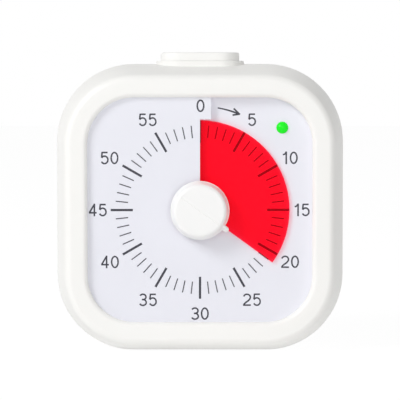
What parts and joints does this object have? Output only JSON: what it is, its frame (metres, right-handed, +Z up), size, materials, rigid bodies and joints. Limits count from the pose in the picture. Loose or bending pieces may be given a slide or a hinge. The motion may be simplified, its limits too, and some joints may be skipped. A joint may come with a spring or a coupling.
{
  "type": "visual countdown timer",
  "caption": "Square desk timer: a red film disc slides out over a recessed minute dial as its knob is set, with a long top button and a green lamp.",
  "frame": {"origin": "middle of the footprint at table height, half way between the knob's face and the back of the case", "axes": "+X to the user's right as they read the dial, +Y away from the user into the case, +Z up"},
  "size_m": [0.09, 0.0418, 0.093],
  "materials": {
    "case_ivory": "smooth moulded ABS, ivory white, satin gloss",
    "dial_white": "flat white with a faint lavender cast, printed scale",
    "film_red": "see-through red film",
    "hub_white": "natural acetal",
    "knob_white": "smooth moulded ABS, white",
    "button_white": "smooth moulded ABS, white",
    "shaft_steel": "ground steel",
    "bracket_grey": "moulded ABS",
    "screw_steel": "zinc-plated steel",
    "movement_black": "moulded ABS, black",
    "movement_clear": "moulded polystyrene",
    "gear_white": "moulded acetal",
    "gear_brass": "stamped brass",
    "spring_steel": "spring steel",
    "contact_bronze": "phosphor bronze",
    "magnet_dark": "sintered ferrite",
    "stator_iron": "laminated soft iron",
    "coil_copper": "enamelled copper wire",
    "bobbin_black": "moulded nylon",
    "board_green": "glass-epoxy board",
    "chip_black": "epoxy package",
    "crystal_can": "drawn can",
    "capacitor_blue": "sleeved can",
    "lamp_green": "green epoxy lamp",
    "lens_green": "clear green acrylic",
    "switch_black": "moulded nylon",
    "buzzer_black": "moulded housing",
    "cell_jacket": "sleeved steel can",
    "nickel_plate": "nickel-plated steel"
  },
  "bodies": {
    "case": {"front_shell": "case_ivory", "rear_shell": "case_ivory", "dial_plate": "dial_white", "movement_bracket": "bracket_grey", "bracket_screws": "screw_steel", "dial_screws": "screw_steel", "movement_screws": "screw_steel", "board_screws": "screw_steel", "button_board_screws": "screw_steel", "case_screws": "screw_steel", "movement_base": "movement_black", "movement_cover": "movement_clear", "contact_wipers": "contact_bronze", "stator": "stator_iron", "coil_bobbin": "bobbin_black", "coil": "coil_copper", "circuit_board": "board_green", "timer_chip": "chip_black", "quartz_crystal": "crystal_can", "board_capacitor": "capacitor_blue", "lamp": "lamp_green", "indicator_lens": "lens_green", "button_springs": "spring_steel", "button_board": "board_green", "button_switch": "switch_black", "buzzer": "buzzer_black", "sound_switch_body": "switch_black", "battery_cells": "cell_jacket", "battery_link": "nickel_plate", "battery_terminals": "nickel_plate", "battery_springs": "nickel_plate"},
    "knob": {"setting_knob": "knob_white", "knob_shaft": "shaft_steel", "main_wheel": "gear_brass", "clutch_spring": "spring_steel", "retaining_ring": "spring_steel", "code_disc": "hub_white"},
    "disc": {"disc_hub": "hub_white", "time_disc": "film_red"},
    "third": {"third_wheel": "gear_white"},
    "fourth": {"fourth_wheel": "gear_white"},
    "rotor": {"rotor_pinion": "gear_white", "rotor_magnet": "magnet_dark"},
    "button": {"top_button": "button_white"},
    "sound_slider": {"sound_switch_slider": "switch_black"},
    "door": {"battery_door": "case_ivory"}
  },
  "joints": [
    {"name": "knob_turn", "type": "hinge", "parent": "case", "child": "knob", "pos_m": [0, 0, 0.04438], "axis": [0, 1, 0], "range_deg": [-126, 234]},
    {"name": "disc_climb", "type": "slide", "parent": "knob", "child": "disc", "axis": [0, -1, 0], "range_m": [-0.00071, 0.0013]},
    {"name": "third_turn", "type": "hinge", "parent": "case", "child": "third", "pos_m": [-0.00495, 0, 0.03943], "axis": [0, 1, 0], "range_deg": [-1405, 757]},
    {"name": "fourth_turn", "type": "hinge", "parent": "case", "child": "fourth", "pos_m": [-0.01095, 0, 0.03943], "axis": [0, 1, 0], "range_deg": [-3785, 7025]},
    {"name": "rotor_turn", "type": "hinge", "parent": "case", "child": "rotor", "pos_m": [-0.01095, 0, 0.04543], "axis": [0, 1, 0], "range_deg": [-35110, 18910]},
    {"name": "button_press", "type": "slide", "parent": "case", "child": "button", "axis": [0, 0, -1], "range_m": [0, 0.001], "stiffness_N_per_m": 600, "springref_m": -0.001, "deforming": ["button_springs"]},
    {"name": "sound_slide", "type": "slide", "parent": "case", "child": "sound_slider", "axis": [1, 0, 0], "range_m": [-0.002, 0.002]},
    {"name": "door_hinge", "type": "hinge", "parent": "case", "child": "door", "pos_m": [0, 0.01995, 0.00875], "axis": [-1, 0, 0], "range_deg": [0, 90]}
  ],
  "couplings": [
    {"joint": "disc_climb", "follows": "knob_turn", "m_per_rad": 0.00031831},
    {"joint": "third_turn", "follows": "knob_turn", "ratio": -6},
    {"joint": "fourth_turn", "follows": "knob_turn", "ratio": 30},
    {"joint": "rotor_turn", "follows": "knob_turn", "ratio": -150}
  ]
}
